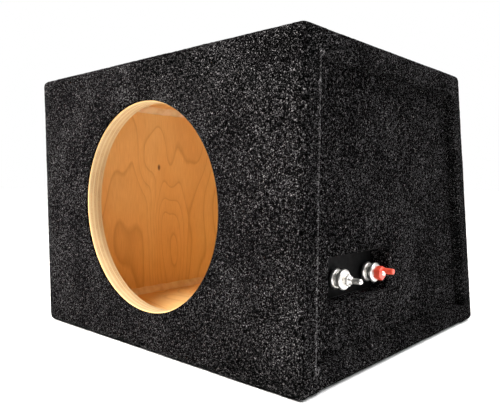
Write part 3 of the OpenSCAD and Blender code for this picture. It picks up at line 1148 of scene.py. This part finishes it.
@dataclass
class Woodwork:
    """The baffle with its cut edge, the finishes of the other panels, and the sealant."""

    outline: Outline
    veneer: BirchVeneer
    edge: Material
    sealant: Material
    bead: float = 9 * MM
    bead_step: float = 4 * MM
    # Shares of the way across a bead at which its section has points, and how deep its hollow is.
    bead_shares: tuple[float, ...] = (0.0, 0.28, 0.5, 0.72, 1.0)
    bead_hollow: float = 0.55
    # Length and height of the swellings along a bead.
    bead_waves: tuple[tuple[float, float], ...] = ((17 * MM, 0.10), (6 * MM, 0.05))
    # The beads round an end start this share of a bead from the corner, within the long beads.
    bead_start: float = 0.8
    plate_parts: int = 12
    rim_parts: int = 192
    ease: float = 0.6 * MM

    def build_baffle(self, veneer: Material) -> None:
        """Make the baffle: a panel with a round hole whose edges are eased.

        Args:
            veneer: Finish of its faces.
        """
        lo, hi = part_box("front_baffle")
        centre = Vector((0, 0, self.outline.height / 2))

        def within(point: Vector) -> bool:
            """Tell whether a point is away from the outside of the panel."""
            return abs(point.x) < hi.x - MM and lo.z + MM < point.z < hi.z - MM

        bm = bmesh.new()
        face = Matrix.Translation((0, lo.y, 0)) @ Matrix.Rotation(math.pi / 2, 4, "X")
        rim = Matrix.Translation(centre) @ face
        bmesh.ops.create_circle(bm, segments=self.rim_parts, radius=CUTOUT_R, matrix=rim)
        parts = self.plate_parts
        plate = bmesh.ops.create_grid(bm, x_segments=parts, y_segments=parts, size=1.0, matrix=face)["verts"]
        for vertex in plate:
            vertex.co.x *= hi.x
            vertex.co.z = (lo.z + hi.z) / 2 + vertex.co.z * (hi.z - lo.z) / 2
        inner = [f for f in bm.faces if all(within(v.co) for v in f.verts)]
        bmesh.ops.delete(bm, geom=inner, context="FACES")
        open_edges = [e for e in bm.edges if len(e.link_faces) < 2]
        loops = [e for e in open_edges if within((e.verts[0].co + e.verts[1].co) / 2)]
        bmesh.ops.bridge_loops(bm, edges=loops)
        bmesh.ops.recalc_face_normals(bm, faces=bm.faces[:])
        made = bmesh.ops.extrude_face_region(bm, geom=bm.faces[:])["geom"]
        back = [g for g in made if isinstance(g, BMVert)]
        bmesh.ops.translate(bm, verts=back, vec=(0, hi.y - lo.y, 0))
        bmesh.ops.recalc_face_normals(bm, faces=bm.faces[:])
        ease_edges(bm, [e for e in bm.edges if self.is_rim_corner(e, centre)], self.ease, 2)
        reach = CUTOUT_R + self.ease / 2
        cut_edge = [i for i, f in enumerate(bm.faces) if (f.calc_center_median() - centre).xz.length < reach]
        piece = finish_piece(bm, "front_baffle_board", veneer, "front_baffle")
        piece.data.materials.append(self.edge)
        for i in cut_edge:
            piece.data.polygons[i].material_index = 1

    @staticmethod
    def is_rim_corner(edge: BMEdge, centre: Vector) -> bool:
        """Tell whether an edge runs round the front or rear corner of the cutout.

        Args:
            edge: The edge.
            centre: Centre of the cutout.

        Returns:
            True if it does.
        """
        flat = [(v.co - centre).xz.length for v in edge.verts]
        level = abs(edge.verts[0].co.y - edge.verts[1].co.y) < TINY
        return level and all(abs(r - CUTOUT_R) < 0.05 * MM for r in flat)

    def build_bead(self, name: str, runs: list[tuple[Vector, Vector, Vector, Vector]], replaced: str) -> None:
        """Make beads of sealant, each smoothed to a hollow and a little uneven.

        Args:
            name: Name of the piece.
            runs: Start, end and the two ways out of each joint.
            replaced: CAD node that the piece stands for.
        """
        bm = bmesh.new()
        for start, end, one, two in runs:
            count = max(2, round((end - start).length / self.bead_step))
            rows = []
            for k in range(count + 1):
                at = start.lerp(end, k / count)
                swell = 1 + sum(part * noise.noise(at / length) for length, part in self.bead_waves)
                rows.append((at, swell))

            def place(i: int, j: int) -> Vector:
                """Find a place.

                Args:
                    i: Number of the section.
                    j: Number of its point. The last is in the corner.

                Returns:
                    The place.
                """
                at, swell = rows[i]
                if j == len(self.bead_shares):
                    return at
                share = self.bead_shares[j]
                hollow = 1 - self.bead_hollow * share * (1 - share)
                return at + (one * (1 - share) + two * share) * self.bead * swell * hollow

            join_into(bm, sheet_grid(count + 1, len(self.bead_shares) + 1, place))
        bmesh.ops.recalc_face_normals(bm, faces=bm.faces[:])
        finish_piece(bm, name, self.sealant, replaced, sharp=60)

    def build_sealant(self) -> None:
        """Run a bead along every inside joint."""
        outline = self.outline
        inner = outline.corners(outline.panel + outline.carpet)
        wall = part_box("left_end_panel")[1].x
        solid = [Vector((0, c.x, c.y)) for c in inner]
        to = [[(solid[j % 4] - solid[i]).normalized() for j in (i + 1, i + 3)] for i in range(4)]
        right = Vector((1, 0, 0))
        long_runs = [(solid[i] + right * wall, solid[i] - right * wall, *to[i]) for i in range(4)]
        self.build_bead("long_joint_bead", long_runs, "long_joint_sealant")
        for side, name in ((-1, "left_end"), (1, "right_end")):
            runs = []
            for i in range(4):
                off = to[i][0] * self.bead * self.bead_start
                start, end = solid[i] + off, solid[(i + 1) % 4] - off
                out = outline.normal(i)
                base = right * side * abs(wall)
                runs.append((start + base, end + base, -right * side, Vector((0, -out.x, -out.y))))
            self.build_bead(name + "_bead", runs, name + "_sealant")

    def build(self) -> None:
        """Make the baffle and the sealant, and dress the other panels."""
        front = self.veneer.build(Grain.FRONT)
        self.build_baffle(front)
        self.build_sealant()
        dress(self.veneer.build(Grain.END), "left_end_panel", "right_end_panel")
        dress(self.veneer.build(Grain.LEVEL), "top_panel", "bottom_panel")
        dress(front, "rear_panel")


# ---- Binding posts ----


def turned(profile: Section, axis: Vector, parts: int = 64) -> BMesh:
    """Turn a profile about an axis along +X.

    Args:
        profile: Its section, a closed ring if it ends where it starts.
        axis: Start of the axis.
        parts: Parts of the full turn.

    Returns:
        The turned shape.
    """
    bm = bmesh.new()
    closed = profile[0] == profile[-1]
    points = [bm.verts.new(axis + Vector((x, 0, r))) for x, r in (profile[:-1] if closed else profile)]
    edges = [bm.edges.new(pair) for pair in zip(points, points[1:])]
    if closed:
        edges.append(bm.edges.new((points[-1], points[0])))
    bmesh.ops.spin(
        bm, geom=points + edges, cent=axis, axis=(1, 0, 0), angle=math.tau, steps=parts, use_merge=True
    )
    bmesh.ops.remove_doubles(bm, verts=bm.verts[:], dist=TINY)
    bmesh.ops.recalc_face_normals(bm, faces=bm.faces[:])
    return bm


@dataclass
class BindingPost:
    """One post: threaded stud, base disc, clamp disc and thumb nut."""

    name: str
    nickel: Material
    stud_r: float = 3.0 * MM
    ring_r: float = 8.5 * MM
    ring_t: float = 1.4 * MM
    pitch: float = 1.0 * MM
    turning: float = 0.08 * MM
    bore_len: float = 6.0 * MM
    stud_parts: int = 32
    nut_parts: int = 48

    def box(self, part: str) -> tuple[Vector, Vector]:
        """Return the box of one of the post's CAD nodes."""
        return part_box(self.name + "_" + part)

    @property
    def axis(self) -> Vector:
        """Return the point on the post's axis at x = 0."""
        lo, hi = self.box("stud")
        return Vector((0, (lo.y + hi.y) / 2, (lo.z + hi.z) / 2))

    def metal(self, bm: BMesh, part: str, body: str, sharp: float = 30.0) -> None:
        """Finish a piece of plated metal and let it stand for its CAD node."""
        name = f"{self.name}_{part}"
        finish_piece(bm, name + "_turned", self.nickel, name, body, sharp)

    def build_stud(self) -> None:
        """Make the stud with its thread cut as fine grooves."""
        lo, hi = self.box("stud")
        crest, depth = self.stud_r, self.pitch / 2
        root = crest - depth
        profile = [(lo.x, 0.0), (lo.x, root), (lo.x + depth, crest)]
        for k in range(int((hi.x - lo.x - 2 * depth) / self.pitch)):
            x = lo.x + depth + k * self.pitch
            thread = ((0.15, crest), (0.5, root), (0.9, crest))
            profile += [(x + share * self.pitch, radius) for share, radius in thread]
        profile += [(hi.x - depth, crest), (hi.x, root), (hi.x, 0.0)]
        self.metal(turned(profile, self.axis, self.stud_parts), "stud", CASE, 20)

    def disc_profile(self, x0: float, thick: float, bore: float, ring_first: bool) -> Section:
        """Give the section of a disc with a full round rim, a fine groove and a raised ring.

        Args:
            x0: Where the disc starts, without its ring.
            thick: Its thickness, without its ring.
            bore: Radius of its hole.
            ring_first: True if the ring stands before the disc, and False if it stands after it.

        Returns:
            The section, a closed ring.
        """
        lo, hi = self.box("base_disc")
        half = thick / 2
        flat = (hi.y - lo.y) / 2 - half
        rim = arc((x0 + half, flat), half, 180, 0, 12)
        groove = ease = 0.25 * MM
        near = [(x0, flat - 1.2 * MM), (x0 + groove, flat - 0.9 * MM), (x0, flat - 0.6 * MM)]
        x1 = x0 + thick
        far = [(x0 + x1 - x, r) for x, r in near[::-1]]
        if ring_first:
            out = x0 - self.ring_t
            start = [(out, bore), (out, self.ring_r - ease), (out + ease, self.ring_r), (x0, self.ring_r)]
            body = start + near[2:] + rim + far + [(x1, bore)]
        else:
            out = x1 + self.ring_t
            end = [(x1, self.ring_r), (out - ease, self.ring_r), (out, self.ring_r - ease), (out, bore)]
            body = [(x0, bore)] + near + rim + end
        return body + [body[0]]

    def build_discs(self) -> None:
        """Make the fixed base disc and the clamp disc that slides on the stud."""
        lo, hi = self.box("base_disc")
        profile = self.disc_profile(lo.x, hi.x - lo.x - self.ring_t, self.stud_r, False)
        self.metal(turned(profile, self.axis), "base_disc", CASE, 35)
        lo, hi = self.box("clamp_disc")
        bore = self.stud_r + self.turning
        profile = self.disc_profile(lo.x + self.ring_t, hi.x - lo.x - self.ring_t, bore, True)
        self.metal(turned(profile, self.axis), "clamp_disc", self.name + "_clamp", 35)

    def hexagon(self, x0: float, x1: float, across: float, ease: float) -> BMesh:
        """Make a hexagonal prism about the post's axis with eased edges.

        Args:
            x0: Where it starts.
            x1: Where it ends.
            across: Width across its flats.
            ease: Size of the rounding.

        Returns:
            The prism.
        """
        bm = bmesh.new()
        upright = Matrix.Rotation(math.pi / 2, 4, "Y") @ Matrix.Rotation(math.pi / 6, 4, "Z")
        place = Matrix.Translation(self.axis + Vector(((x0 + x1) / 2, 0, 0))) @ upright
        corner = across / 2 / math.cos(math.pi / 6)
        bmesh.ops.create_cone(
            bm, cap_ends=True, segments=6, radius1=corner, radius2=corner, depth=x1 - x0, matrix=place
        )
        ease_edges(bm, bm.edges[:], ease, 3)
        return bm

    def bore(self, x0: float) -> Section:
        """Give the section of a nut's bore, from its blind end to its mouth at x0."""
        radius = self.stud_r + self.turning
        return [(x0 + self.bore_len, 0.0), (x0 + self.bore_len, radius), (x0, radius)]

    def open_ends(self, bm: BMesh, x0: float, x1: float, sections: list[Section]) -> None:
        """Put turned sections in place of the end faces of a prism, so that all is one closed skin.

        Args:
            bm: The prism, along +X.
            x0: Where it starts.
            x1: Where it ends.
            sections: Profiles whose free ends lie in the planes of the two end faces.
        """

        def lies_in(part: BMEdge | bmesh.types.BMFace, x: float) -> bool:
            """Tell whether an edge or a face lies in the plane at x."""
            return all(abs(v.co.x - x) < TINY for v in part.verts)

        caps = [f for f in bm.faces if lies_in(f, x0) or lies_in(f, x1)]
        bmesh.ops.delete(bm, geom=caps, context="FACES_ONLY")
        for section in sections:
            join_into(bm, turned(section, self.axis, self.nut_parts))
        for x in (x0, x1):
            rim = [e for e in bm.edges if e.is_boundary and lies_in(e, x)]
            bmesh.ops.triangle_fill(bm, edges=rim, use_beauty=True)
        bmesh.ops.recalc_face_normals(bm, faces=bm.faces[:])

    def build(self) -> None:
        """Make the pieces that both posts have."""
        self.build_stud()
        self.build_discs()


@dataclass
class PlainPost(BindingPost):
    """The negative post, whose bare nut ends in a rod."""

    hex_len: float = 5.0 * MM
    hex_ease: float = 0.5 * MM
    shoulder_len: float = 0.6 * MM
    rod_r: float = 3.0 * MM

    def build(self) -> None:
        """Make the post with its bare thumb nut."""
        super().build()
        lo, hi = self.box("thumb_nut")
        flat, shoulder = (hi.y - lo.y) / 2, lo.x + self.hex_len
        bm = self.hexagon(lo.x, shoulder, 2 * flat, self.hex_ease)
        neck = shoulder + flat - self.rod_r + MM
        outside = [(shoulder, flat - 0.6 * MM), (shoulder + self.shoulder_len, flat - 0.8 * MM)]
        outside += [(neck, self.rod_r)]
        outside += arc((hi.x - self.rod_r, 0.0), self.rod_r, 90, 0, 10)[:-1] + [(hi.x, 0.0)]
        self.open_ends(bm, lo.x, shoulder, [self.bore(lo.x), outside])
        self.metal(bm, "thumb_nut", self.name + "_nut")


@dataclass
class CappedPost(BindingPost):
    """The positive post, whose nut has a red cap with a stem beside the nut's dome."""

    vinyl: Material | None = None
    stem_r: float = 3.3 * MM
    stem_offset: float = 2.6 * MM
    stem_round: float = 1.2 * MM
    dome_r: float = 3.0 * MM
    nut_ease: float = 0.3 * MM
    cap_ease: float = 0.9 * MM
    stem_parts: int = 40
    # Room between the cap's lining and the nut.
    fit: float = 0.02 * MM

    def build(self) -> None:
        """Make the post, its domed nut and the red cap."""
        super().build()
        lo, hi = self.box("thumb_nut")
        cap_lo, cap_hi = self.box("cap")
        dome_r = self.dome_r
        core, end = (hi.y - lo.y) / 2, hi.x - dome_r
        face = end - MM
        profile = self.bore(lo.x) + [(lo.x, core - self.nut_ease), (lo.x + self.nut_ease, core)]
        profile += [(face, core), (face, dome_r), (end, dome_r)]
        profile += arc((end, 0.0), dome_r, 90, 0, 12)[1:-1] + [(hi.x, 0.0)]
        self.metal(turned(profile, self.axis, self.nut_parts), "thumb_nut", self.name + "_nut")
        bm = self.hexagon(cap_lo.x, end, 2 * (self.axis.y - cap_lo.y), self.cap_ease)
        inner = ((cap_lo.x, core), (face, core), (face, dome_r), (end - self.fit, dome_r))
        lining = [(x + self.fit if x > cap_lo.x else x, r + self.fit) for x, r in inner]
        self.open_ends(bm, cap_lo.x, end, [lining])
        foot, tip, ease = end - 0.3 * MM, cap_hi.x - self.stem_round, self.stem_round
        slim = self.stem_r - 0.15 * MM
        stem = [(foot, 0.0), (foot, self.stem_r + 0.5 * MM), (end + 0.8 * MM, self.stem_r), (tip, slim)]
        stem += arc((tip, slim - ease), ease, 90, 0, 6)[1:] + [(cap_hi.x, 0.0)]
        beside = self.axis + Vector((0, self.stem_offset, self.stem_offset))
        join_into(bm, turned(stem, beside, self.stem_parts))
        name = self.name + "_cap"
        finish_piece(bm, name + "_moulded", self.vinyl, name, self.name + "_nut", 30)


# ---- Studio ----


@dataclass(frozen=True)
class SoftLight:
    """A square light that faces the middle of the enclosure.

    Attributes:
        name: Its name.
        place: Where it stands.
        size: Its side.
        power: Its power in watts.
        tint: Its colour.
    """

    name: str
    place: tuple[float, float, float]
    size: float
    power: float
    tint: str = "#ffffff"


@dataclass(frozen=True)
class Studio:
    """Floor, soft lights and camera."""

    outline: Outline
    eye: tuple[float, float, float] = (0.4961, -0.5772, 0.1951)
    yaw: float = 41.98
    pitch: float = -5.22
    roll: float = 0.22
    lens: float = 39.17
    shift: float = 0.05
    soft_lights: tuple[SoftLight, ...] = (
        SoftLight("key", (-0.08, -1.15, 0.92), 0.6, 50, "#fffcf8"),
        SoftLight("fill", (1.6, 0.5, 0.9), 0.9, 13),
        SoftLight("back", (0.2, 1.9, 1.5), 1.6, 14),
    )
    room: float = 0.10
    overhead: float = 3.7
    overhead_spread: float = 50.0
    overhead_way: tuple[float, float, float] = (-0.35, -0.2, -1.0)

    def build_camera(self) -> None:
        """Set the camera."""
        data = bpy.data.cameras.new("studio_camera")
        data.lens, data.shift_y = self.lens, self.shift
        camera = bpy.data.objects.new("studio_camera", data)
        camera.location = self.eye
        turn = Matrix.Rotation(math.radians(self.yaw), 3, "Z")
        tilt = Matrix.Rotation(math.radians(90 + self.pitch), 3, "X")
        camera.rotation_mode = "QUATERNION"
        roll = Matrix.Rotation(math.radians(self.roll), 3, "Z")
        camera.rotation_quaternion = (turn @ tilt @ roll).to_quaternion()
        bpy.context.scene.collection.objects.link(camera)
        bpy.context.scene.camera = camera

    def hang(self, data: bpy.types.Light, place: Vector, way: Vector) -> None:
        """Hang a light.

        Args:
            data: The light.
            place: Where it hangs.
            way: The direction that it faces.
        """
        light = bpy.data.objects.new(data.name, data)
        light.location = place
        light.rotation_mode = "QUATERNION"
        light.rotation_quaternion = way.to_track_quat("-Z", "Y")
        bpy.context.scene.collection.objects.link(light)

    def build_lights(self) -> None:
        """Hang the soft lights and the broad overhead one, which lights the floor evenly."""
        middle = Vector((0, 0, self.outline.height / 2))
        for soft in self.soft_lights:
            data = bpy.data.lights.new(soft.name, "AREA")
            data.size, data.energy, data.color = soft.size, soft.power, linear(soft.tint)[:3]
            self.hang(data, Vector(soft.place), middle - Vector(soft.place))
        data = bpy.data.lights.new("overhead", "SUN")
        data.energy, data.angle = self.overhead, math.radians(self.overhead_spread)
        self.hang(data, Vector(), Vector(self.overhead_way))

    def build_world(self) -> None:
        """Make the world: a white backdrop, and a room behind the camera that is dimmer than it."""
        world = bpy.data.worlds.new("studio")
        world.use_nodes = True
        tree = world.node_tree
        background = tree.nodes["Background"]
        set_inputs(background, {"Color": linear("#ffffff")})
        seen = add(tree, "LightPath", out="Is Camera Ray")
        set_inputs(background, {"Strength": add(tree, "MapRange", {0: seen, 3: self.room})})
        bpy.context.scene.world = world

    def build_floor(self) -> None:
        """Lay the white floor just under the enclosure."""
        bm = bmesh.new()
        bmesh.ops.create_grid(bm, x_segments=1, y_segments=1, size=12.0)
        mesh = bpy.data.meshes.new("studio_floor")
        bm.to_mesh(mesh)
        bm.free()
        floor = bpy.data.objects.new("studio_floor", mesh)
        floor.location.z = -0.5 * MM
        material, _, shader = new_material("white_floor")
        set_inputs(shader, {"Base Color": linear("#ffffff"), "Roughness": 0.9})
        mesh.materials.append(material)
        bpy.context.scene.collection.objects.link(floor)

    def build(self) -> None:
        """Build the studio."""
        bpy.context.scene.view_settings.view_transform = "Standard"
        self.build_camera()
        self.build_lights()
        self.build_world()
        self.build_floor()


def both(part: str) -> tuple[str, str]:
    """Return the names of a CAD node of both posts."""
    return "negative_" + part, "positive_" + part


def main() -> None:
    """Build the enclosure, dress it and set the studio."""
    logging.basicConfig(level=logging.INFO, format="%(name)s: %(message)s")
    outline = Outline.from_frame()
    log.info("outline %s", outline)
    Studio(outline).build()
    carpet = NeedlePunchedCarpet().build()
    CarpetCovering(outline, carpet).build()
    baffle_lo, baffle_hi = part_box("front_baffle")
    edge = PlywoodEdge(front=baffle_lo.y, thickness=baffle_hi.y - baffle_lo.y).build()
    Woodwork(outline, BirchVeneer(), edge, SEALANT.build()).build()
    nickel = NICKEL.build()
    PlainPost("negative", nickel).build()
    CappedPost("positive", nickel, vinyl=RED_VINYL.build()).build()
    screws = [side + "_screws" for side in ("front", "rear", "top", "base")]
    dress(ZINC.build(), *screws, *both("lock_nut"), *both("lock_washer"))
    dress(BLACK_OXIDE.build(), "board_screws")
    dress(HARDBOARD.build(), "terminal_board")
    dress(FOAM.build(), "board_gasket")
    dress(NYLON.build(), *both("bushing"), *both("insulator"))
    dress(TINNED_BRASS.build(), *both("solder_tab"))


if __name__ == "__main__":
    main()
